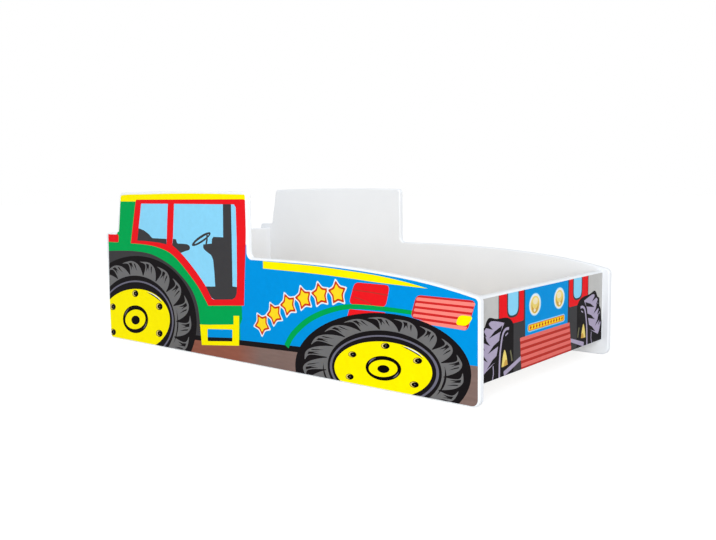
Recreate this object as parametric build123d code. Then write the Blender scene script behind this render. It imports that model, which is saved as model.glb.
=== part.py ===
from build123d import *
import os

# Tractor bed for a child, in millimetres. Two tractor-shaped side panels stand on the floor and
# carry a headboard, a footboard and two rails. A slatted base lies loose on the rails.
# The origin is on the floor under the middle of the bed, +X runs from the head end to the
# tractor's front, +Y to the tractor's left side and +Z up.

# Mattress the bed is made for
mattress_length = 1600.0
mattress_width = 800.0
mattress_end_gap = 1.0
mattress_side_gap = 3.0

# Boards
panel_thickness = 22.0
board_thickness = 22.0
edge_radius = 5.0
head_overhang = 40.0
foot_setback = 24.0
board_ground_gap = 52.0
board_foot_radius = 1.5
headboard_height = 400.0
footboard_height = 289.0

# Side outline, lengths from the head end and heights from the floor
step_length = 76.0
step_height = 419.0
cab_rear_lean = 32.5
roof_rear_height = 574.4
roof_front_height = 572.6
roof_arch = 5.0
cab_front_length = 826.7
bonnet_height = 357.0
bonnet_level_run = 173.0
knee_setback = 260.0
knee_height = 336.6
nose_height = 294.4
rear_foot_radius = 18.0
step_radius = 14.0
step_inner_radius = 10.0
roof_radius = 16.0
notch_radius = 18.0
nose_radius = 18.0
front_foot_radius = 25.0

# Printed films
print_thickness = 0.3
print_inset = 6.0
print_foot_inset = 4.0
board_print_foot_inset = 1.5
board_print_end_inset = 1.5

# Rails and slatted base
base_height = 150.0
rail_width = 25.0
rail_height = 40.0
rail_end_gap = 2.0
slat_count = 13
slat_width = 70.0
slat_thickness = 18.0
slat_side_gap = 3.0
slat_end_gap = 6.0
slat_edge_radius = 2.0
strap_width = 25.0
strap_thickness = 1.0
strap_edge_distance = 130.0
staple_width = 12.0
staple_wire = 0.8
staple_leg = 11.0
staple_slack = 0.1

# Cam fittings and dowels at the board ends
fitting_edge_distance = 45.0
cam_distance = 34.0
cam_diameter = 15.0
cam_depth = 16.0
cam_recess = 1.0
cam_slack = 0.2
bolt_thread_diameter = 6.0
bolt_thread_length = 11.0
bolt_shaft_diameter = 6.6
bolt_neck_diameter = 3.6
bolt_neck_length = 6.0
bolt_head_diameter = 6.6
bolt_head_length = 3.0
bolt_bore_diameter = 8.0
drive_recess_diameter = 5.0
drive_recess_depth = 2.5
cap_diameter = 17.0
cap_thickness = 0.8
cap_stem_diameter = 4.6
cap_stem_gap = 0.3
dowel_diameter = 8.0
dowel_in_panel = 12.0
dowel_in_board = 22.0
dowel_spacing = 32.0
dowel_chamfer = 1.0

# Rail screws
screw_count = 5
screw_end_distance = 120.0
screw_diameter = 4.0
screw_head_diameter = 8.0
screw_head_height = 2.4
screw_in_panel = 13.0

# Clearance round a pin or screw in its hole, and past the end of a blind hole
hole_slack = 0.1
hole_end_slack = 0.5

# Places worked out from the sizes
inner_length = mattress_length + 2 * mattress_end_gap
inner_width = mattress_width + 2 * mattress_side_gap
bed_length = head_overhang + inner_length + 2 * board_thickness + foot_setback
head_end = -bed_length / 2
front_end = bed_length / 2
panel_inside = inner_width / 2
panel_outside = panel_inside + panel_thickness
headboard_x = head_end + head_overhang + board_thickness / 2
footboard_x = front_end - foot_setback - board_thickness / 2
headboard_inside = headboard_x + board_thickness / 2
footboard_inside = footboard_x - board_thickness / 2
well_x = (headboard_inside + footboard_inside) / 2
rail_top = base_height - slat_thickness
rail_z = rail_top - rail_height / 2
rail_length = inner_length - 2 * rail_end_gap
rail_face = panel_inside - rail_width
slat_length = inner_width - 2 * slat_side_gap
slat_span = inner_length - 2 * slat_end_gap - slat_width
slat_pitch = slat_span / (slat_count - 1)
slat_places = [well_x - slat_span / 2 + slat_pitch * n for n in range(slat_count)]
strap_y = slat_length / 2 - strap_edge_distance
sides = (-1, 1)


def cylinder_along(axis, x, y, z, diameter, length):
    """Cylinder from the point (x, y, z) along an axis direction, for a pin or its hole."""
    start = Plane(origin=(x, y, z), z_dir=axis)
    return start * Cylinder(diameter / 2, length, align=(Align.CENTER, Align.CENTER, Align.MIN))


def block(x, y, z, length, width, height):
    """Box centred on (x, y) with its underside at z."""
    return Pos(x, y, z) * Box(length, width, height, align=(Align.CENTER, Align.CENTER, Align.MIN))


def spread(low, high, count):
    """Evenly spaced places from low to high, both included."""
    return [low + (high - low) * n / (count - 1) for n in range(count)]


def round_corner(face, x, z, radius):
    """Rounds the corner of an upright outline that lies at (x, z)."""
    corner = face.vertices().sort_by_distance((x, 0, z))[0]
    return fillet(corner, radius)


def side_outline(foot=0.0):
    """Tractor outline in the plane y = 0, from the rear foot at height foot round the cab and bonnet."""
    step_end = head_end + step_length
    roof_rear = step_end + cab_rear_lean
    cab_front = head_end + cab_front_length
    roof_middle = ((roof_rear + cab_front) / 2, (roof_rear_height + roof_front_height) / 2 + roof_arch)
    rear = Line((head_end, foot), (head_end, step_height))
    step = Line(rear @ 1, (step_end, step_height))
    cab_rear = Line(step @ 1, (roof_rear, roof_rear_height))
    roof = ThreePointArc(cab_rear @ 1, roof_middle, (cab_front, roof_front_height))
    windscreen = Line(roof @ 1, (cab_front, bonnet_height))
    bonnet = Line(windscreen @ 1, (cab_front + bonnet_level_run, bonnet_height))
    fall = TangentArc(bonnet @ 1, (front_end - knee_setback, knee_height), tangent=bonnet % 1)
    nose = TangentArc(fall @ 1, (front_end, nose_height), tangent=fall % 1)
    front = Line(nose @ 1, (front_end, foot))
    bottom = Line(front @ 1, rear @ 0)
    edges = [rear, step, cab_rear, roof, windscreen, bonnet, fall, nose, front, bottom]
    face = Plane.XZ * make_face(edges)
    face = round_corner(face, head_end, foot, rear_foot_radius)
    face = round_corner(face, head_end, step_height, step_radius)
    face = round_corner(face, step_end, step_height, step_inner_radius)
    face = round_corner(face, roof_rear, roof_rear_height, roof_radius)
    face = round_corner(face, cab_front, roof_front_height, roof_radius)
    face = round_corner(face, cab_front, bonnet_height, notch_radius)
    face = round_corner(face, front_end, nose_height, nose_radius)
    return round_corner(face, front_end, foot, front_foot_radius)


def bolt_places(board_x, board_height):
    """Low and high place of the cam bolts at a board's end, as (x, z)."""
    low = board_ground_gap + fitting_edge_distance
    high = board_height - fitting_edge_distance
    return [(board_x, low), (board_x, high)]


def dowel_places(board_x, board_height):
    """Low and high place of the dowels at a board's end, between its cam bolts."""
    (x, low), (x, high) = bolt_places(board_x, board_height)
    return [(x, low + dowel_spacing), (x, high - dowel_spacing)]


boards = [(headboard_x, headboard_height), (footboard_x, footboard_height)]
all_bolts = [place for board in boards for place in bolt_places(*board)]
all_dowels = [place for board in boards for place in dowel_places(*board)]
screw_places = spread(
    headboard_inside + screw_end_distance, footboard_inside - screw_end_distance, screw_count
)


def side_panel(side):
    """Tractor-shaped panel with rounded edges, bored from inside for its fittings."""
    outline = Pos(0, side * panel_inside, 0) * side_outline()
    panel = extrude(outline, panel_thickness, dir=(0, side, 0))
    faces = panel.faces().sort_by(Axis.Y)
    panel = fillet(faces[0].edges() + faces[-1].edges(), edge_radius)
    outward = (0, side, 0)
    y = side * panel_inside
    bolt_hole = bolt_thread_diameter + 2 * hole_slack
    dowel_hole = dowel_diameter + 2 * hole_slack
    screw_hole = screw_diameter + 2 * hole_slack
    for x, z in all_bolts:
        panel -= cylinder_along(outward, x, y, z, bolt_hole, bolt_thread_length + hole_end_slack)
    for x, z in all_dowels:
        panel -= cylinder_along(outward, x, y, z, dowel_hole, dowel_in_panel + hole_end_slack)
    for x in screw_places:
        panel -= cylinder_along(outward, x, y, rail_z, screw_hole, screw_in_panel + hole_end_slack)
    return panel


def side_print(side):
    """Film with the printed tractor on the outside of a side panel."""
    foot = print_foot_inset - print_inset
    outline = Pos(0, side * panel_outside, 0) * offset(side_outline(foot), -print_inset)
    return extrude(outline, print_thickness, dir=(0, side, 0))


def end_board(board_x, board_height):
    """Board between the side panels, with pockets in its back for the cams and bores in its ends."""
    height = board_height - board_ground_gap
    board = block(board_x, 0, board_ground_gap, board_thickness, inner_width, height)
    edges = board.edges().filter_by(Axis.Y).sort_by(Axis.Z)
    board = fillet(edges[:2], board_foot_radius)
    edges = board.edges().filter_by(Axis.Y).sort_by(Axis.Z)
    board = fillet(edges[-2:], edge_radius)
    back = board_x - board_thickness / 2
    pocket = cam_diameter + 2 * cam_slack
    dowel_hole = dowel_diameter + 2 * hole_slack
    for side in sides:
        end = side * panel_inside
        inward = (0, -side, 0)
        cam_y = side * (panel_inside - cam_distance)
        for x, z in bolt_places(board_x, board_height):
            board -= cylinder_along(inward, x, end, z, bolt_bore_diameter, cam_distance)
            board -= cylinder_along((1, 0, 0), back, cam_y, z, pocket, cam_depth + hole_end_slack)
        for x, z in dowel_places(board_x, board_height):
            board -= cylinder_along(inward, x, end, z, dowel_hole, dowel_in_board + hole_end_slack)
    return board


def footboard_print():
    """Film with the printed tractor front on the outside of the footboard."""
    foot = board_ground_gap + board_print_foot_inset
    height = footboard_height - print_inset - foot
    width = inner_width - 2 * board_print_end_inset
    film_x = footboard_x + (board_thickness + print_thickness) / 2
    return block(film_x, 0, foot, print_thickness, width, height)


def slat_rail(side):
    """Pine rail along the inside of a side panel, bored and countersunk for its screws."""
    y = side * (panel_inside - rail_width / 2)
    rail = block(well_x, y, rail_top - rail_height, rail_length, rail_width, rail_height)
    sink_diameter = screw_head_diameter + 2 * hole_slack
    hole = screw_diameter + 2 * hole_slack
    for x in screw_places:
        sink_top = Plane(origin=(x, side * rail_face, rail_z), z_dir=(0, side, 0))
        rail -= cylinder_along((0, side, 0), x, side * rail_face, rail_z, hole, rail_width)
        sink = Cone(
            sink_diameter / 2, hole / 2, screw_head_height + hole_slack,
            align=(Align.CENTER, Align.CENTER, Align.MIN),
        )
        rail -= sink_top * sink
    return rail


def rail_screw(x, side):
    """Countersunk wood screw with a cross recess, through a rail into its side panel."""
    seat = Plane(origin=(x, side * rail_face, rail_z), z_dir=(0, side, 0))
    low = (Align.CENTER, Align.CENTER, Align.MIN)
    length = rail_width + screw_in_panel
    screw = Cone(screw_head_diameter / 2, screw_diameter / 2, screw_head_height, align=low)
    screw += Pos(0, 0, screw_head_height) * Cylinder(
        screw_diameter / 2, length - screw_head_height, align=low
    )
    for turn in (0, 90):
        screw -= Rot(0, 0, turn) * Box(
            screw_head_diameter / 2, screw_diameter / 4, screw_head_height, align=low
        )
    return seat * screw


def staple_places():
    """Middle of each staple, one where a strap crosses a slat."""
    return [(x, side * strap_y) for side in sides for x in slat_places]


def staple(x, y, slack=0.0):
    """Staple with its crown under a strap and its legs up through the strap into a slat."""
    wire = staple_wire + 2 * slack
    crown_z = rail_top - strap_thickness - staple_wire
    shape = block(x, y, crown_z - slack, wire, staple_width + 2 * slack, wire)
    for leg in sides:
        leg_y = y + leg * (staple_width - staple_wire) / 2
        shape += block(x, leg_y, crown_z, wire, wire, staple_leg + slack)
    return shape


def slat(x):
    """Slat across the bed with softened long edges and the slots that its staples make."""
    shape = block(x, 0, rail_top, slat_width, slat_length, slat_thickness)
    shape = fillet(shape.edges().filter_by(Axis.Y), slat_edge_radius)
    for side in sides:
        shape -= staple(x, side * strap_y, staple_slack)
    return shape


def strap(side):
    """Woven strap under the slats that keeps them spaced."""
    length = slat_span + slat_width
    shape = block(well_x, side * strap_y, rail_top - strap_thickness, length, strap_width, strap_thickness)
    for x in slat_places:
        shape -= staple(x, side * strap_y, staple_slack)
    return shape


def cam_bolt(x, z, side):
    """Bolt screwed into a side panel, with a neck and head that the cam in the board draws in."""
    start = side * (panel_inside + bolt_thread_length)
    inward = (0, -side, 0)
    head_end_y = panel_inside - cam_distance - bolt_head_length / 2
    neck_end_y = head_end_y + bolt_head_length
    shaft_end_y = neck_end_y + bolt_neck_length
    shape = cylinder_along(inward, x, start, z, bolt_thread_diameter, bolt_thread_length)
    shape += cylinder_along(
        inward, x, side * panel_inside, z, bolt_shaft_diameter, panel_inside - shaft_end_y
    )
    shape += cylinder_along(inward, x, side * shaft_end_y, z, bolt_neck_diameter, bolt_neck_length)
    shape += cylinder_along(inward, x, side * neck_end_y, z, bolt_head_diameter, bolt_head_length)
    return shape


def cam_disc(x, z, side):
    """Cam in its pocket, with the channel for the bolt's head and a recess for the driver."""
    back = x - board_thickness / 2
    y = side * (panel_inside - cam_distance)
    face = back + cam_recess
    shape = cylinder_along((1, 0, 0), face, y, z, cam_diameter, cam_depth - cam_recess)
    channel_start = y + side * cam_diameter
    channel_length = cam_diameter + bolt_head_length
    shape -= cylinder_along((0, -side, 0), x, channel_start, z, bolt_bore_diameter, channel_length)
    shape -= cylinder_along((1, 0, 0), face, y, z, drive_recess_diameter, drive_recess_depth)
    return shape


def cam_cap(x, z, side):
    """Press-in cap that covers a cam."""
    back = x - board_thickness / 2
    y = side * (panel_inside - cam_distance)
    stem_length = cam_recess + drive_recess_depth - cap_stem_gap
    shape = cylinder_along((-1, 0, 0), back, y, z, cap_diameter, cap_thickness)
    shape += cylinder_along((1, 0, 0), back, y, z, cap_stem_diameter, stem_length)
    return shape


def dowel(x, z, side):
    """Glued beech dowel between a side panel and a board end."""
    length = dowel_in_panel + dowel_in_board
    start = side * (panel_inside + dowel_in_panel)
    shape = cylinder_along((0, -side, 0), x, start, z, dowel_diameter, length)
    return chamfer(shape.edges().filter_by(GeomType.CIRCLE), dowel_chamfer)


def at_ends(make, places):
    """One copy of a fitting at each of its places, on both sides of the bed, as one sub-part."""
    return group(make(x, z, side) for x, z in places for side in sides)


def group(shapes):
    """Separate like solids as one sub-part."""
    return Compound(children=list(shapes))


nodes = {
    "right_side_panel": side_panel(-1),
    "left_side_panel": side_panel(1),
    "right_side_print": side_print(-1),
    "left_side_print": side_print(1),
    "headboard": end_board(headboard_x, headboard_height),
    "footboard": end_board(footboard_x, footboard_height),
    "footboard_print": footboard_print(),
    "right_slat_rail": slat_rail(-1),
    "left_slat_rail": slat_rail(1),
    "right_strap": strap(-1),
    "left_strap": strap(1),
    "strap_staples": group(staple(x, y) for x, y in staple_places()),
    "cam_bolts": at_ends(cam_bolt, all_bolts),
    "cam_discs": at_ends(cam_disc, all_bolts),
    "cam_caps": at_ends(cam_cap, all_bolts),
    "dowels": at_ends(dowel, all_dowels),
    "rail_screws": group(rail_screw(x, side) for side in sides for x in screw_places),
}
for number, x in enumerate(slat_places, start=1):
    nodes[f"slat_{number:02d}"] = slat(x)

os.makedirs("parts", exist_ok=True)
for name, shape in nodes.items():
    export_step(shape, f"parts/{name}.step")
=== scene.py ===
import math

import bmesh
import bpy
from mathutils import Matrix, Vector
from mathutils.geometry import delaunay_2d_cdt


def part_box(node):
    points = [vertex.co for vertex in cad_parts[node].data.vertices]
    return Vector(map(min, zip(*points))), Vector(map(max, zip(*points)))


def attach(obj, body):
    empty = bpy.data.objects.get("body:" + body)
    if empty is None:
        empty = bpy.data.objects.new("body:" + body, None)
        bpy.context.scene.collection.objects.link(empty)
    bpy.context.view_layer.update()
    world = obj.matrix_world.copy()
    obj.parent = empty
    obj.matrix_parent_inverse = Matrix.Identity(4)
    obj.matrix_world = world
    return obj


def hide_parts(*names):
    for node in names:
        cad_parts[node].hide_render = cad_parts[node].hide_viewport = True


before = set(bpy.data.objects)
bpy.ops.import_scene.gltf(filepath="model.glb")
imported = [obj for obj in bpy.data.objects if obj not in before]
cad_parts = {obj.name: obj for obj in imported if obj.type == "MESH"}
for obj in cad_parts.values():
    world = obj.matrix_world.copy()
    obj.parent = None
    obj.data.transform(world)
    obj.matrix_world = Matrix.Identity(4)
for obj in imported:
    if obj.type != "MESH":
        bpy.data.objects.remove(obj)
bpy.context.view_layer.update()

MM = 0.001
X, Y, Z = 0, 1, 2

# The pictures are drawn in millimetres: along the bed from its head end and up from the floor on
# the sides, and outwards from the middle and up from the floor on the front. What reaches past a
# film's edge is cut off there.
HEAD_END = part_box("right_side_panel")[0].x / MM

# Colours of the print, as 0 to 255 screen values
INKS = {
    "white": (236, 238, 240),
    "green": (0, 163, 80),
    "red": (235, 26, 34),
    "deep_red": (205, 42, 42),
    "brick": (186, 52, 44),
    "pink": (252, 134, 124),
    "coral": (230, 112, 104),
    "yellow": (255, 238, 0),
    "amber": (252, 216, 36),
    "rust": (202, 62, 22),
    "orange": (232, 126, 28),
    "blue": (0, 146, 221),
    "sky": (139, 212, 245),
    "charcoal": (62, 61, 63),
    "black": (24, 21, 23),
    "jet": (6, 4, 5),
    "tyre_grey": (111, 110, 111),
    "steel_grey": (108, 106, 122),
    "lilac": (174, 163, 189),
    "pale_grey": (194, 193, 191),
    "gold": (206, 162, 80),
    "cream": (243, 229, 190),
    "straw": (238, 214, 120),
    "olive": (112, 110, 82),
}


def linear(screen):
    """Linear colour of a 0 to 255 screen colour."""
    def channel(v):
        v /= 255
        return v / 12.92 if v <= 0.04045 else ((v + 0.055) / 1.055) ** 2.4
    return (*(channel(v) for v in screen), 1.0)


class Shader:
    """A principled material and short calls that add nodes to it."""

    def __init__(self, name, **values):
        self.material = bpy.data.materials.new(name)
        self.material.use_nodes = True
        self.tree = self.material.node_tree
        self.principled = self.tree.nodes["Principled BSDF"]
        for socket, value in values.items():
            self.principled.inputs[socket.replace("_", " ")].default_value = value
        self.place = self.node("ShaderNodeTexCoord").outputs["Object"]

    def node(self, kind, links=(), **settings):
        made = self.tree.nodes.new(kind)
        for setting, value in settings.items():
            setattr(made, setting, value)
        for socket, source in dict(links).items():
            if isinstance(source, bpy.types.NodeSocket):
                self.tree.links.new(source, made.inputs[socket])
            else:
                made.inputs[socket].default_value = source
        return made

    def stretched(self, scale):
        """Object coordinates times a scale along each axis."""
        return self.node("ShaderNodeMapping", {"Vector": self.place, "Scale": scale}).outputs["Vector"]

    def noise(self, scale, detail=2.0, rough=0.5, at=None, distort=0.0):
        links = {"Vector": at or self.place, "Scale": scale, "Detail": detail, "Roughness": rough,
                 "Distortion": distort}
        return self.node("ShaderNodeTexNoise", links).outputs["Fac"]

    def spread(self, value, low, high, start=0.0, end=1.0):
        """Maps a value from start..end to low..high."""
        links = {"Value": value, "From Min": start, "From Max": end, "To Min": low, "To Max": high}
        return self.node("ShaderNodeMapRange", links).outputs["Result"]

    def mix(self, share, a, b):
        made = self.node("ShaderNodeMix", {0: share}, data_type="RGBA")
        for socket, value in ((6, a), (7, b)):
            if isinstance(value, bpy.types.NodeSocket):
                self.tree.links.new(value, made.inputs[socket])
            else:
                made.inputs[socket].default_value = value
        return made.outputs[2]

    def bump(self, height, distance, strength=1.0):
        links = {"Height": height, "Distance": distance, "Strength": strength}
        made = self.node("ShaderNodeBump", links)
        self.tree.links.new(made.outputs["Normal"], self.principled.inputs["Normal"])

    def use(self, socket, source):
        self.tree.links.new(source, self.principled.inputs[socket])


def shade(colour, factor):
    """A colour made lighter or darker by a factor."""
    return (*(min(1.0, v * factor) for v in colour[:3]), 1.0)


# Gloss of the printed films. The specular level is low, as a stronger one washes the inks out.
PRINT_GLOSS = {"IOR": 1.45, "Specular_IOR_Level": 0.02}
# Printed earth: reddish before the first of these places, greyish past the second
GROUND_TURN = (760, 880)
STREAK_TONE = 0.86


def film_texture(made):
    """Uneven gloss and fine texture, the same on all printed films."""
    made.use("Roughness", made.spread(made.noise(220.0), 0.36, 0.46))
    made.bump(made.noise(1300.0), 0.00002)


def printed(ink):
    """Satin printed film in one ink, with faint mottling of the ink and the film's fine texture."""
    colour = linear(INKS[ink])
    made = Shader(f"print_{ink}", **PRINT_GLOSS)
    mottle = made.spread(made.noise(55.0, 4.0, 0.6), 0.0, 1.0, 0.3, 0.7)
    made.use("Base Color", made.mix(mottle, shade(colour, 0.965), shade(colour, 1.02)))
    film_texture(made)
    return made.material


def printed_ground():
    """Printed earth that turns from reddish to greyish brown along the bed."""
    made = Shader("print_ground", **PRINT_GLOSS)
    along = made.node("ShaderNodeSeparateXYZ", {"Vector": made.place}).outputs["X"]
    first, last = ((place + HEAD_END) * MM for place in GROUND_TURN)
    turn = made.spread(along, 0.0, 1.0, first, last)
    reddish, greyish = linear((148, 90, 74)), linear((131, 108, 101))
    streaks = made.noise(14.0, 4.0, 0.6, made.stretched((1.0, 1.0, 6.0)))
    base = made.mix(turn, reddish, greyish)
    darker = made.mix(turn, shade(reddish, STREAK_TONE), shade(greyish, STREAK_TONE))
    made.use("Base Color", made.mix(made.spread(streaks, 0.0, 1.0, 0.35, 0.7), base, darker))
    film_texture(made)
    return made.material


def white_foil():
    """White foil on fibreboard: satin, with a very fine orange-peel and faint tone changes."""
    made = Shader("white_foil", IOR=1.46)
    white = (0.86, 0.882, 0.915, 1.0)
    tone = made.spread(made.noise(6.0, 3.0), 0.0, 1.0, 0.3, 0.7)
    made.use("Base Color", made.mix(tone, shade(white, 0.985), shade(white, 1.01)))
    made.use("Roughness", made.spread(made.noise(90.0, 3.0), 0.38, 0.48))
    made.bump(made.noise(700.0, 3.0, 0.55), 0.00004)
    return made.material


def timber(name, pale, dark, knot, along):
    """Planed wood with its grain along an axis: rings, fibres, a few knots."""
    made = Shader(name, IOR=1.5)

    def drawn_out(lengthwise, crosswise):
        return made.stretched([lengthwise if axis == along else crosswise for axis in "XYZ"])

    knots = made.node(
        "ShaderNodeTexVoronoi", {"Vector": drawn_out(2.6, 14.0), "Scale": 0.9}
    ).outputs["Distance"]
    near_knot = made.spread(knots, 1.0, 0.0, 0.03, 0.14)
    flow = made.noise(2.4, 3.0, 0.5, drawn_out(0.35, 7.0), 0.4)
    rings = made.node("ShaderNodeMath", {0: flow, 1: 46.0}, operation="MULTIPLY").outputs[0]
    swerve = made.node("ShaderNodeMath", {0: near_knot, 1: 3.0}, operation="MULTIPLY").outputs[0]
    rings = made.node("ShaderNodeMath", {0: rings, 1: swerve}, operation="ADD").outputs[0]
    rings = made.node("ShaderNodeMath", {0: rings}, operation="FRACT").outputs[0]
    late = made.spread(rings, 0.0, 1.0, 0.35, 1.0)
    fibre = made.noise(1.0, 4.0, 0.6, drawn_out(3.0, 220.0))
    grain = made.mix(made.spread(late, 0.0, 0.8), pale, dark)
    grain = made.mix(made.spread(fibre, 0.0, 0.35, 0.35, 0.7), grain, shade(dark, 0.85))
    made.use("Base Color", made.mix(made.spread(near_knot, 0.0, 0.85), grain, knot))
    made.use("Roughness", made.spread(fibre, 0.55, 0.72))
    height = made.node("ShaderNodeMath", {0: fibre, 1: late}, operation="ADD").outputs[0]
    made.bump(height, 0.00012, 0.6)
    return made.material


def woven_strap():
    """Woven polyester tape, its warp and weft about two millimetres apart."""
    made = Shader("woven_strap", Sheen_Weight=0.3, Sheen_Roughness=0.5)
    warp = made.node(
        "ShaderNodeTexWave", {"Vector": made.stretched((0.0, 1.0, 0.0)), "Scale": 190.0},
        bands_direction="Y",
    ).outputs["Fac"]
    weft = made.node(
        "ShaderNodeTexWave", {"Vector": made.stretched((1.0, 0.0, 0.0)), "Scale": 140.0},
        bands_direction="X",
    ).outputs["Fac"]
    weave = made.node("ShaderNodeMath", {0: warp, 1: weft}, operation="MULTIPLY").outputs[0]
    made.use("Base Color", made.mix(weave, (0.46, 0.45, 0.42, 1), (0.80, 0.79, 0.75, 1)))
    made.use("Roughness", made.spread(weave, 0.85, 0.7))
    made.bump(weave, 0.0003)
    return made.material


def metal(name, colour, low, high):
    """Plated steel or cast zinc with a slightly uneven finish."""
    made = Shader(name, Metallic=1.0)
    patch = made.noise(260.0, 4.0, 0.6)
    tone = made.spread(patch, 0.0, 1.0, 0.3, 0.7)
    made.use("Base Color", made.mix(tone, shade(colour, 0.86), colour))
    made.use("Roughness", made.spread(patch, low, high, 0.3, 0.7))
    made.bump(made.noise(1500.0, 3.0), 0.00002)
    return made.material


def moulded_white():
    """Moulded white plastic with a fine spark-eroded texture."""
    made = Shader("moulded_white", IOR=1.46)
    grain = made.noise(1800.0, 3.0)
    white = (0.80, 0.80, 0.79, 1.0)
    made.use("Base Color", made.mix(grain, shade(white, 0.97), white))
    made.use("Roughness", made.spread(grain, 0.42, 0.55))
    made.bump(grain, 0.00003)
    return made.material


# Outlines for the drawings, each a list of (across, up) pairs in millimetres

def rounded(points, steps=6):
    """Smooth open curve through points."""
    padded = [points[0], *points, points[-1]]
    made = [points[0]]
    for before, start, end, after in zip(padded, padded[1:], padded[2:], padded[3:]):
        for step in range(1, steps + 1):
            t = step / steps
            made.append(tuple(
                0.5 * (2 * b + (c - a) * t + (2 * a - 5 * b + 4 * c - d) * t ** 2
                       + (3 * b - a - 3 * c + d) * t ** 3)
                for a, b, c, d in zip(before, start, end, after)
            ))
    return made


def soft_corners(points, radius, steps=4):
    """Closed polygon with its corners rounded."""
    made = []
    for n, corner in enumerate(points):
        following = points[(n + 1) % len(points)]
        corner, before, after = (Vector(p) for p in (corner, points[n - 1], following))
        to_before, to_after = before - corner, after - corner
        reach = min(radius, to_before.length / 2.01, to_after.length / 2.01)
        start = corner + to_before.normalized() * reach
        end = corner + to_after.normalized() * reach
        for step in range(steps + 1):
            t = step / steps
            made.append(tuple(start * (1 - t) ** 2 + corner * 2 * t * (1 - t) + end * t ** 2))
    return made


def oval_point(centre, wide, high, tilt, angle):
    """Point of an oval at an angle in radians. Its half width and half height are wide and high."""
    cos, sin = math.cos(math.radians(tilt)), math.sin(math.radians(tilt))
    x, z = wide * math.cos(angle), high * math.sin(angle)
    return centre[0] + x * cos - z * sin, centre[1] + x * sin + z * cos


def oval(centre, wide, high, tilt, steps):
    """Closed polygon of an oval that is turned by tilt degrees."""
    return [oval_point(centre, wide, high, tilt, 2 * math.pi * n / steps) for n in range(steps)]


def band(middle, width):
    """Strip of a width, or of one width per point, along an open line of points."""
    widths = width if isinstance(width, list) else [width] * len(middle)
    left, right = [], []
    for n, point in enumerate(middle):
        before, after = middle[max(n - 1, 0)], middle[min(n + 1, len(middle) - 1)]
        along = Vector((after[0] - before[0], after[1] - before[1])).normalized()
        aside = Vector((-along.y, along.x)) * widths[n] / 2
        left.append((point[0] + aside.x, point[1] + aside.y))
        right.append((point[0] - aside.x, point[1] - aside.y))
    return left + right[::-1]


STAR_WAIST, STAR_ROUNDING = 0.58, 0.16  # shares of the radius


def star(centre, radius, lean):
    """Plump five-pointed star, leaning to the left by an angle in degrees."""
    made = []
    for n in range(10):
        reach = radius if n % 2 == 0 else radius * STAR_WAIST
        angle = math.pi / 2 + n * math.pi / 5 + math.radians(lean)
        made.append((centre[0] + reach * math.cos(angle), centre[1] + reach * math.sin(angle)))
    return soft_corners(made, radius * STAR_ROUNDING, 3)


def between(inner, outer, angle, level):
    """Point between two ovals, at level 0 on the inner one and 1 on the outer one."""
    a, b = oval_point(*inner, angle), oval_point(*outer, angle)
    return a[0] + (b[0] - a[0]) * level, a[1] + (b[1] - a[1]) * level


THINNEST = 0.4  # width of a tapered strip at its ends


def arc_between(inner, outer, start, end, level, width, steps=16):
    """Strip along part of a ring between two ovals, its angles in degrees, tapered at both ends."""
    shares = [n / steps for n in range(steps + 1)]
    middle = [between(inner, outer, math.radians(start + (end - start) * share), level)
              for share in shares]
    return band(middle, [max(THINNEST, width * math.sin(math.pi * share)) for share in shares])


# A tyre's lug and its notches, as (turn, level): turn counts in lugs, and level goes from 0 at the
# side wall to 1 at the tyre's edge
LUG = [(0.00, 0.03), (0.06, 0.36), (0.04, 0.58), (-0.08, 0.665), (-0.30, 0.71), (-0.04, 0.745),
       (0.20, 0.755), (0.38, 0.71), (0.54, 0.62), (0.67, 0.50), (0.78, 0.36), (0.88, 0.20),
       (0.96, 0.03)]
NOTCHES = ([(0.06, 0.675), (0.23, 0.67), (0.33, 0.34), (0.22, 0.52), (0.15, 0.28), (0.13, 0.50)],
           [(0.36, 0.63), (0.43, 0.60), (0.53, 0.24), (0.40, 0.46)])
LUGS, LUG_FOOT, BOLTS = 19, 0.06, 6
FIRST_LUG, FIRST_BOLT, BOLT_TILT = 87, 30, 8  # degrees
RING_STEPS = 96


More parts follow.
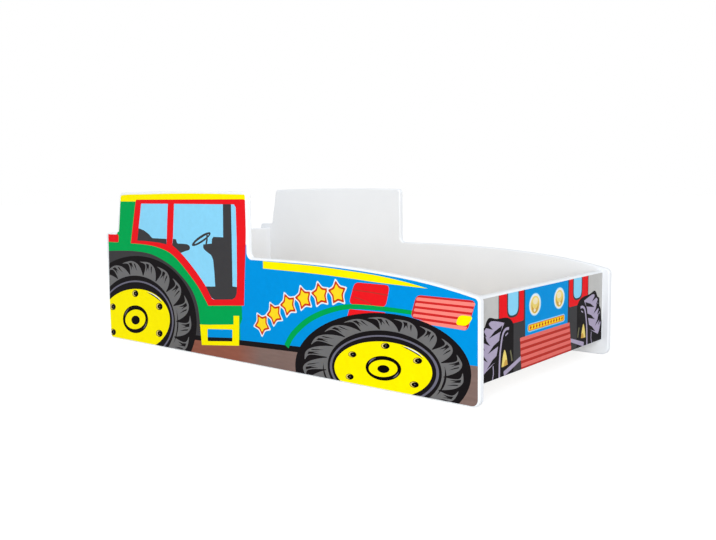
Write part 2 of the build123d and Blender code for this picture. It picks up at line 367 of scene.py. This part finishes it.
def wheel(paint, tyre, rings, disc, hub, hole, dot, bolts):
    """Wheel seen from the side: tyre with curved lugs, rings, yellow disc, hub and bolts.

    tyre, disc, hub, hole and dot are ovals. rings are inks with ovals, from the outside in. bolts
    are the middle of their circle and the reach to it along each axis of the wheel's plane."""
    wall = rings[0][1]
    pitch = 2 * math.pi / LUGS
    paint("black", oval(*tyre, RING_STEPS))
    paint("tyre_grey", [between(wall, tyre, 2 * math.pi * n / RING_STEPS, LUG_FOOT)
                        for n in range(RING_STEPS)])
    for n in range(LUGS):
        start = math.radians(FIRST_LUG) - n * pitch
        for ink, outline in (("tyre_grey", rounded(LUG, 3)), *(("black", notch) for notch in NOTCHES)):
            paint(ink, [between(wall, tyre, start - turn * pitch, level) for turn, level in outline])
    for start, end in ((-34, 6), (172, 214)):
        paint("black", arc_between(wall, tyre, start, end, 0.13, 7))
    for ink, shape in rings:
        paint(ink, oval(*shape, RING_STEPS))
    paint("yellow", oval(*disc, RING_STEPS))
    paint("black", arc_between(hub, disc, 25, 61, 0.90, 5))
    paint("white", arc_between(hub, disc, 29, 59, 0.945, 4))
    paint("jet", oval(*hub, RING_STEPS))
    for start, end in ((112, 160), (-58, -18)):
        paint("steel_grey", arc_between(hub, disc, start, end, -0.07, 4))
    paint("yellow", oval(*hole, RING_STEPS))
    paint("jet", oval(*dot, RING_STEPS))

    # Each bolt is a stack of ovals: ink, shift across and size, as shares of the lowest one
    middle, along, upward = bolts
    wide, high = dot[1] * 0.72, dot[2] * 0.78
    for n in range(BOLTS):
        angle = math.radians(FIRST_BOLT + 360 / BOLTS * n)
        across, up = (middle[axis] + along[axis] * math.cos(angle) + upward[axis] * math.sin(angle)
                      for axis in (0, 1))
        for ink, shift, size in (("jet", 0, 1), ("straw", -0.1, 0.78), ("jet", 0.12, 0.7),
                                 ("tyre_grey", 0.1, 0.15)):
            paint(ink, oval((across + wide * shift, up), wide * size, high * size, BOLT_TILT, 24))


def side_picture(paint):
    """Tractor seen from the side. What comes later lies over what came before."""
    # Roof, mudguard, bonnet and wheel well
    paint("yellow", rounded([(112, 540), (116, 564), (290, 568), (467, 569.5), (650, 568), (822, 564)])
          + [(824, 546)])
    arch = rounded([(-12, 345), (90, 351), (200, 353), (300, 345), (400, 315), (470, 277), (525, 232),
                    (555, 182), (566, 125), (568, 60)])
    paint("green", arch + [(778, 62), (778, 128), (790, 150), (801, 196), (801, 300), (230, 541),
                           (60, 541), (60, 418), (-12, 418)])
    paint("blue", [(778, 60), (1722, 60), (1722, 400), (790, 400), (790, 150), (778, 128)])
    paint("charcoal", arch + [(500, 40), (400, -12), (-12, -12)])

    # Cab frame, windows and what shows inside
    lower_left = rounded([(616, 180), (592, 210), (560, 246), (520, 281), (480, 313), (440, 340),
                          (400, 359), (350, 371), (300, 378), (250, 381), (200, 382), (167, 382)])
    paint("red", [(801, 196), (690, 187)] + lower_left + [(210, 541), (215, 548), (812, 549), (821, 546)]
          + rounded([(822, 480), (819, 420), (813, 350), (808, 290), (801, 196)]))
    paint("sky", [(245, 533), (408, 533), (400, 470), (391, 386), (340, 391), (262, 394), (210, 394),
                  (222, 441)])
    paint("charcoal", [(222, 441), (254, 434), (282, 422), (306, 406), (392, 406), (391, 386), (340, 391),
                       (262, 394), (210, 394)])
    sill = rounded([(650, 204), (632, 211), (606, 247), (552, 298), (504, 336), (474, 357), (446, 373),
                    (424, 384)], 3)
    paint("sky", sill + [(430, 410), (444, 533), (766, 532), (774, 522), (774, 420), (770, 300),
                         (766, 234), (758, 220), (742, 212)])
    paint("charcoal", [(710, 533), (751, 533), (749, 400), (746, 257), (769, 256), (766, 234), (758, 220),
                       (742, 212), (650, 204), (632, 211), (606, 247), (656, 250), (654, 300)]
          + rounded([(650, 340), (640, 357), (618, 368), (600, 380), (600, 393)], 4)
          + [(645, 398), (647, 413), (655, 421), (706, 421)])
    paint("charcoal", [(431, 408), (448, 406), (453, 393)]
          + rounded([(460, 391), (505, 391), (524, 384), (522, 372), (500, 366), (472, 358)], 4)
          + [(446, 373), (424, 384)])

    # Steering wheel and its column
    paint("charcoal", oval((589, 411), 57, 12, 24, 32))
    paint("sky", oval((592, 411.5), 43, 4, 24, 32))
    paint("charcoal", band([(622, 428), (620, 408), (612, 386)], 8))

    # Rear lamp
    paint("red", soft_corners([(12, 383), (86, 383), (88, 414), (12, 414)], 9))

    # Ground and sill
    paint("ground", [(430, -12), (430, 56), (774, 68), (1100, 84), (1100, -12)])
    paint("ground", [(1540, -12), (1540, 112), (1722, 114), (1722, -12)])
    paint("black", [(480, 65), (774, 77), (1080, 89), (1080, 70), (774, 60), (480, 48)])

    # Bonnet stripe, louvre, arc over the front wheel, grille and lamp
    paint("yellow", rounded([(898, 350), (1100, 347), (1250, 340), (1370, 332), (1470, 320), (1546, 307)])
          + rounded([(1470, 309), (1370, 312), (1250, 318), (1100, 323), (898, 326)]))
    paint("red", soft_corners([(1262, 241), (1400, 243), (1416, 307), (1286, 307)], 16))
    paint("red", [(1254, 200), (1394, 212), (1398, 228), (1264, 226)])
    paint("brick", band([(1276, 284), (1345, 282), (1409, 278)], 3.5))
    paint("brick", band([(1284, 263), (1318, 256), (1350, 246)], 3.5))
    arc = rounded([(997, 82), (1018, 114), (1050, 144), (1087, 171), (1122, 190), (1160, 206), (1200, 219),
                   (1240, 229), (1285, 235), (1330, 237), (1400, 238), (1500, 236)], 3)
    paint("green", band(arc, [21 - 9 * n / (len(arc) - 1) for n in range(len(arc))]))
    paint("deep_red", soft_corners([(1487, 222), (1672, 203), (1698, 286), (1508, 287)], 16))
    for n in range(5):
        low = 204 + n * 16.3
        bar = [(1490 + n * 4, low + 6 - n), (1666 + n * 7, low + 1), (1672 + n * 6, low + 11),
               (1493 + n * 4, low + 14 - n * 0.7)]
        paint("pink", soft_corners(bar, 4))
    paint("yellow", soft_corners([(1634, 216), (1672, 217), (1691, 244), (1646, 244)], 13))

    # Six stars on an arc along the bonnet
    for n, middle in enumerate(
            [(886, 143), (945, 182), (1009, 217), (1077, 243), (1147, 260), (1217, 270)]):
        for ink, radius in (("white", 46), ("rust", 39), ("amber", 28)):
            paint(ink, star(middle, radius, 34 - 5 * n))

    # Wheels, the rear one cut off by the panel's foot
    rear, front = (171, 86), (1382, 60)
    wheel(paint, ((159, 76), 393, 253.5, 10.8),
          [("black", (rear, 254, 171, 9.5)), ("steel_grey", (rear, 246, 152, 9.5)),
           ("black", (rear, 237, 146, 9.5))],
          ((166, 86), 229, 119, 9.2), ((174.5, 89.5), 84, 53.5, 10.5), ((174, 89), 68, 37.5, 12.5),
          ((176, 86.5), 28, 17, 10.5), ((175, 88), (177, 16), (7, 102)))
    wheel(paint, ((1359, 55.7), 327, 166.5, 7.5),
          [("black", (front, 210, 114, 6.6)), ("steel_grey", (front, 201, 100.5, 6.6)),
           ("black", (front, 192, 96, 6.6))],
          ((1380, 59.5), 180.5, 82.5, 6.6), ((1388.3, 65), 65.5, 35.8, 7),
          ((1387.6, 64.4), 53.4, 24.8, 8.8), ((1389.4, 63), 22, 11.5, 7.5),
          ((1385.5, 62.5), (137, 7), (12, 69)))

    # Steps below the cab door
    paint("yellow", [(566, 109), (608, 112), (745, 127), (747, 157), (775, 159), (770, 57), (572, 36)])
    paint("black", [(607, 97), (738, 109), (736, 68), (606, 54)])
    paint("blue", [(607, 97), (738, 109), (736, 80), (606, 68)])
    paint("green", [(607, 113), (745, 128), (745, 140), (607, 140)])

    # Bare margin along the head end
    paint("white", [(-12, -12), (4, -12), (6, 150), (15, 350), (17, 420), (91, 424), (96, 450),
                    (104, 500), (111, 545), (113, 558), (121, 567), (140, 600), (-12, 600)])


def mirrored(paint, side):
    """A paint that puts what it draws on one side of the middle: side is 1, or -1 to mirror it."""
    def turned(ink, points):
        paint(ink, [(side * across, up) for across, up in points])
    return turned


def front_half(half):
    """One half of the front picture. half is a paint that keeps to one side of the middle."""
    # Front window in its frame
    half("charcoal", soft_corners([(144, 191), (232, 191), (290, 200), (290, 310), (144, 310)], 8))
    half("red", soft_corners([(147, 195), (232, 195), (286, 200), (286, 310), (147, 310)], 8))
    half("charcoal", soft_corners([(174, 212), (244, 212), (244, 330), (174, 330)], 27))
    half("sky", soft_corners([(180, 218), (238, 218), (238, 330), (180, 330)], 24))

    # Tyre seen from ahead: outline, tread, chevrons, side wall, rim and axle
    top = rounded([(206, 192), (222, 208), (250, 217), (300, 220), (336, 228), (352, 221),
                   (362, 206)], 3)
    half("black", top + [(379, 199), (381, 172), (393, 159), (398, 124), (408, 112), (410, 40),
                         (206, 40)])
    tread = rounded([(258, 203), (290, 211), (330, 217), (352, 204), (367, 192), (371, 166),
                     (384, 150), (388, 122), (396, 104), (396, 82)], 3)
    half("lilac", tread + [(372, 76), (330, 92), (306, 102), (292, 140), (281, 176)])
    for n in range(4):
        half("black", [(268 + 8 * n, 198 - 37 * n), (276 + 8 * n, 182 - 38 * n),
                       (340 + 6 * n, 172 - 42 * n), (310 + 6 * n, 187 - 39 * n)])
        half("black", [(346 + 16 * n, 224 - 36 * n), (360 + 16 * n, 204 - 37 * n),
                       (320 + 13 * n, 193 - 43 * n), (338 + 14 * n, 207 - 40 * n)])
        half("black", [(372 + 8 * n, 202 - 34 * n), (378 + 7 * n, 188 - 34 * n),
                       (352 + 9 * n, 178 - 36 * n)])
    wall = rounded([(232, 184), (250, 184), (266, 172), (277, 138), (283, 100), (285, 40)], 4)
    half("lilac", band(wall, 8))
    half("lilac", band([(238, 172), (252, 166)], 4))
    half("lilac", band([(322, 52), (316, 70), (318, 92)], 4))
    half("straw", rounded([(239, 82), (245, 108), (256, 127), (266, 108), (272, 80)], 4))
    half("gold", rounded([(240, 82), (242, 94), (250, 98), (257, 90), (261, 80)], 4))
    half("olive", band([(214, 88), (218, 104), (224, 120)], 7))
    half("lilac", soft_corners([(160, 82), (160, 94), (262, 66), (258, 52)], 4))

    # Bonnet lamp, a stack of ovals
    for ink, centre, wide, high in (("sky", (79, 233), 37, 34), ("white", (79, 233), 34, 31.5),
                                    ("straw", (79, 232), 28, 26.5), ("gold", (79, 229), 22, 21),
                                    ("straw", (79, 236), 18, 16), ("cream", (77, 243), 15, 10),
                                    ("cream", (81, 216), 7, 5)):
        half(ink, oval(centre, wide, high, 0, 40))


def front_picture(paint):
    """Tractor seen from the front, its halves alike but for the trim bar and the grille."""
    paint("pale_grey", [(-410, 40), (410, 40), (410, 300), (-410, 300)])
    paint("charcoal", [(-300, 40), (300, 40), (300, 200), (-300, 200)])
    paint("charcoal", [(-147, 140), (147, 140), (147, 300), (-147, 300)])
    paint("blue", [(-138, 146), (138, 146), (140, 300), (-140, 300)])
    for side in (-1, 1):
        front_half(mirrored(paint, side))

    # Trim bar with a row of lozenges, and grille
    paint("sky", soft_corners([(-124, 155), (118, 155), (118, 180), (-124, 180)], 11))
    paint("orange", soft_corners([(-121, 158), (115, 158), (115, 177), (-121, 177)], 9))
    paint("amber", soft_corners([(-116, 161), (110, 161), (110, 174), (-116, 174)], 6))
    for n in range(12):
        across = -105 + 18.5 * n
        paint("rust", [(across - 6, 167), (across, 161), (across + 6, 168), (across + 1, 174)])
    paint("brick", [(-160, 50), (168, 50), (153, 146), (-168, 146)])
    for n in range(5):
        low, left, right = 59 + n * 19.2, 160 + n * 2, 167 - n * 3.5
        paint("coral", soft_corners([(-left, low), (right, low), (right, low + 11), (-left, low + 11)], 4))


# Printed films, each a closed thin sheet in the place of its CAD film

FLAT = 1e-6  # metres within which vertices merge and count as lying in a plane
NEAR, SNAP = 0.05, 1e-4  # millimetres within which points of an outline, or of all of them, merge
INSIDE_ONLY = 1  # output of the triangulation: what lies inside the outlines
PRINT_INKS = {ink: printed(ink) for ink in INKS}
PRINT_INKS["ground"] = printed_ground()


def signed_area(points):
    """Area of a polygon, above 0 where it runs anticlockwise."""
    return sum(a[0] * b[1] - b[0] * a[1] for a, b in zip(points, points[1:] + points[:1])) / 2


def film_edge(node, flat, out):
    """Outline of a CAD film's outer face in millimetres, the place of its plane, its thickness.

    flat gives the two axes in the film's plane, and out is the axis and sign of its normal."""
    low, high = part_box(node)
    axis, sign = out
    plane = high[axis] if sign > 0 else low[axis]
    shape = bmesh.new()
    shape.from_mesh(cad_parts[node].data)
    bmesh.ops.remove_doubles(shape, verts=shape.verts, dist=FLAT)
    front = [f for f in shape.faces if all(abs(v.co[axis] - plane) < FLAT for v in f.verts)]
    following = {}
    for face in front:
        for loop in face.loops:
            if not all(other in front for other in loop.edge.link_faces):
                following[loop.vert] = loop.link_loop_next.vert
    vert = start = next(iter(following))
    points = []
    while not points or vert is not start:
        points.append((vert.co[flat[0]] / MM, vert.co[flat[1]] / MM))
        vert = following[vert]
    shape.free()
    return points, plane, high[axis] - low[axis]


def inked(edge, picture):
    """Picture cut to an edge, as points, pairs of a triangle and its ink, and all its inks."""
    shapes = [("white", edge if signed_area(edge) > 0 else edge[::-1])]

    def paint(ink, points):
        kept = [p for p, after in zip(points, points[1:] + points[:1]) if math.dist(p, after) > NEAR]
        shapes.append((ink, kept if signed_area(kept) > 0 else kept[::-1]))

    picture(paint)
    points, faces = [], []
    for _, outline in shapes:
        faces.append(list(range(len(points), len(points) + len(outline))))
        points += [Vector(p) for p in outline]
    points, _, triangles, _, _, within = delaunay_2d_cdt(points, [], faces, INSIDE_ONLY, SNAP)
    # Shape 0 is the film itself, and the last shape round a triangle lies on top
    tops = [(triangle, shapes[max(found)][0]) for triangle, found in zip(triangles, within) if 0 in found]
    return points, tops, sorted({ink for ink, _ in shapes})


def film(name, node, picture, flat, out, shift):
    """Piece that stands for a CAD film, with a picture as flat areas of ink on its outer face.

    flat and out are those of film_edge, and shift is the first axis's place of the picture's 0."""
    edge, plane, thickness = film_edge(node, flat, out)
    points, triangles, inks = inked([(across - shift, up) for across, up in edge], picture)
    axis, sign = out
    shape = bmesh.new()
    placed = {}

    def corner(n, depth):
        if (n, depth) not in placed:
            spot = Vector()
            spot[flat[0]], spot[flat[1]] = (points[n][0] + shift) * MM, points[n][1] * MM
            spot[axis] = plane - sign * depth
            placed[n, depth] = shape.verts.new(spot)
        return placed[n, depth]

    for depth in (0.0, thickness):
        for triangle, ink in triangles:
            face = shape.faces.new([corner(n, depth) for n in triangle])
            face.material_index = inks.index(ink if depth == 0 else "white")
    keys = {vert: key for key, vert in placed.items()}
    rims = [[keys[vert] for vert in line.verts] for line in shape.edges if line.is_boundary]
    for (a, depth), (b, _) in rims:
        if depth == 0:
            wall = [corner(a, 0.0), corner(b, 0.0), corner(b, thickness), corner(a, thickness)]
            shape.faces.new(wall).material_index = inks.index("white")
    bmesh.ops.recalc_face_normals(shape, faces=shape.faces)
    mesh = bpy.data.meshes.new(name)
    shape.to_mesh(mesh)
    shape.free()
    for ink in inks:
        mesh.materials.append(PRINT_INKS[ink])
    piece = bpy.data.objects.new(name, mesh)
    bpy.context.scene.collection.objects.link(piece)
    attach(piece, "bed_frame")
    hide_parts(node)
    return piece


for side, sign in (("right", -1), ("left", 1)):
    piece = film(f"{side}_side_picture", f"{side}_side_print", side_picture, (X, Z), (Y, sign), HEAD_END)
piece = film("front_picture", "footboard_print", front_picture, (Y, Z), (X, 1), 0.0)

# Finishes of the CAD nodes that stay. The first key that is part of a node's name counts.
PINE = ((0.80, 0.64, 0.43, 1), (0.68, 0.47, 0.27, 1), (0.30, 0.15, 0.07, 1))
BEECH = ((0.70, 0.48, 0.30, 1), (0.60, 0.38, 0.22, 1), (0.55, 0.34, 0.2, 1))
foil = white_foil()
finishes = {
    "panel": foil,
    "cam_bolts": metal("yellow_zinc", (0.80, 0.68, 0.36, 1), 0.22, 0.38),
    "cam_discs": metal("cast_zinc", (0.58, 0.59, 0.61, 1), 0.38, 0.55),
    "cam_caps": moulded_white(),
    "dowels": timber("beech_dowel", *BEECH, "X"),
    "rail_screws": metal("zinc_screw", (0.78, 0.66, 0.36, 1), 0.22, 0.38),
    "staples": metal("zinc_wire", (0.72, 0.73, 0.75, 1), 0.25, 0.4),
    "slat_rail": timber("pine_rail", *PINE, "X"),
    "strap": woven_strap(),
    "slat_": timber("pine_slat", *PINE, "Y"),
    "board": foil,
}
for name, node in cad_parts.items():
    node.data.materials.clear()
    node.data.materials.append(next((finishes[key] for key in finishes if key in name), foil))

# Camera at the photograph's place: in metres, turned by degrees, its lens in millimetres
CAMERA_PLACE = Vector((1.926, -2.179, 0.585))
YAW, PITCH, ROLL = (math.radians(v) for v in (40.19, 6.0, -0.84))
SENSOR_WIDTH, FOCAL_LENGTH = 36.0, 39.95

# Studio: levels at which a colour on the object renders about as it is written
FLOOR_SIZE, FLOOR_DROP = 30.0, 0.0005
FLOOR_TO_LIGHT, FLOOR_TO_VIEW, FLOOR_GLOW = (0.75, 0.75, 0.75), (0.45, 0.45, 0.455), 0.74
SKY_COLOUR, SKY_LEVEL = (0.955, 0.985, 1.0), 0.70
WHITE = (1.0, 1.0, 1.0)


def add_camera():
    forward = Vector((-math.sin(YAW) * math.cos(PITCH), math.cos(YAW) * math.cos(PITCH),
                      -math.sin(PITCH)))
    level = Vector((math.cos(YAW), math.sin(YAW), 0.0))
    upright = level.cross(forward)
    right = level * math.cos(ROLL) + upright * math.sin(ROLL)
    up = upright * math.cos(ROLL) - level * math.sin(ROLL)
    lens = bpy.data.cameras.new("camera")
    lens.sensor_width, lens.lens = SENSOR_WIDTH, FOCAL_LENGTH
    lens.clip_start, lens.clip_end = 0.05, 200.0
    camera = bpy.data.objects.new("camera", lens)
    turn = Matrix((right, up, -forward)).transposed().to_4x4()
    camera.matrix_world = Matrix.Translation(CAMERA_PLACE) @ turn
    bpy.context.scene.collection.objects.link(camera)
    bpy.context.scene.camera = camera


def seen_directly(tree):
    """1 for rays from the camera and for mirrored or transmitted ones, 0 for all other light."""
    path = tree.nodes.new("ShaderNodeLightPath")
    total = path.outputs["Is Camera Ray"]
    for ray in ("Is Glossy Ray", "Is Transmission Ray"):
        add = tree.nodes.new("ShaderNodeMath")
        add.operation, add.use_clamp = "ADD", True
        tree.links.new(total, add.inputs[0])
        tree.links.new(path.outputs[ray], add.inputs[1])
        total = add.outputs[0]
    return total


def coloured(tree, kind, colour, strength=None):
    """New shader node with its colour and, where it has one, its strength."""
    made = tree.nodes.new(kind)
    made.inputs["Color"].default_value = (*colour, 1.0)
    if strength is not None:
        made.inputs["Strength"].default_value = strength
    return made


def split_by_view(tree, to_light, to_view, output):
    """Sends one shader to what is seen directly, and another to all other light."""
    choice = tree.nodes.new("ShaderNodeMixShader")
    tree.links.new(seen_directly(tree), choice.inputs[0])
    tree.links.new(to_light.outputs[0], choice.inputs[1])
    tree.links.new(to_view.outputs[0], choice.inputs[2])
    surface = tree.nodes.new(output)
    tree.links.new(choice.outputs[0], surface.inputs["Surface"])


def add_floor():
    """Pale floor, white to the camera where nothing shades it."""
    finish = bpy.data.materials.new("studio_floor")
    finish.use_nodes = True
    tree = finish.node_tree
    tree.nodes.clear()
    both = tree.nodes.new("ShaderNodeAddShader")
    shaded = coloured(tree, "ShaderNodeBsdfDiffuse", FLOOR_TO_VIEW)
    glow = coloured(tree, "ShaderNodeEmission", WHITE, FLOOR_GLOW)
    tree.links.new(shaded.outputs[0], both.inputs[0])
    tree.links.new(glow.outputs[0], both.inputs[1])
    pale = coloured(tree, "ShaderNodeBsdfDiffuse", FLOOR_TO_LIGHT)
    split_by_view(tree, pale, both, "ShaderNodeOutputMaterial")
    ground = bmesh.new()
    bmesh.ops.create_grid(ground, x_segments=8, y_segments=8, size=FLOOR_SIZE)
    mesh = bpy.data.meshes.new("studio_floor")
    ground.to_mesh(mesh)
    ground.free()
    mesh.materials.append(finish)
    floor = bpy.data.objects.new("studio_floor", mesh)
    floor.location.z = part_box("right_side_panel")[0].z - FLOOR_DROP
    bpy.context.scene.collection.objects.link(floor)


def add_world():
    """Soft even light, white to the camera."""
    world = bpy.data.worlds.new("studio")
    bpy.context.scene.world = world
    world.use_nodes = True
    tree = world.node_tree
    tree.nodes.clear()
    light = coloured(tree, "ShaderNodeBackground", SKY_COLOUR, SKY_LEVEL)
    backdrop = coloured(tree, "ShaderNodeBackground", WHITE, 1.0)
    split_by_view(tree, light, backdrop, "ShaderNodeOutputWorld")


def soft_box(name, place, aim, size, power, spread=180.0):
    """Square area lamp at a place, turned to a point, with its spread in degrees."""
    lamp = bpy.data.lights.new(name, "AREA")
    lamp.shape, lamp.size, lamp.energy, lamp.spread = "SQUARE", size, power, math.radians(spread)
    holder = bpy.data.objects.new(name, lamp)
    holder.location = place
    holder.rotation_euler = (Vector(aim) - Vector(place)).to_track_quat("-Z", "Y").to_euler()
    bpy.context.scene.collection.objects.link(holder)


add_camera()
add_floor()
add_world()
soft_box("key_lamp", place=(5.1, -6.4, 2.1), aim=(0, 0, 0.2), size=5.0, power=420.0)
soft_box("well_lamp", place=(0.72, -0.15, 1.15), aim=(-0.8, 0, 0.3), size=0.8, power=0.75, spread=60.0)
bpy.context.scene.view_settings.view_transform = "Standard"
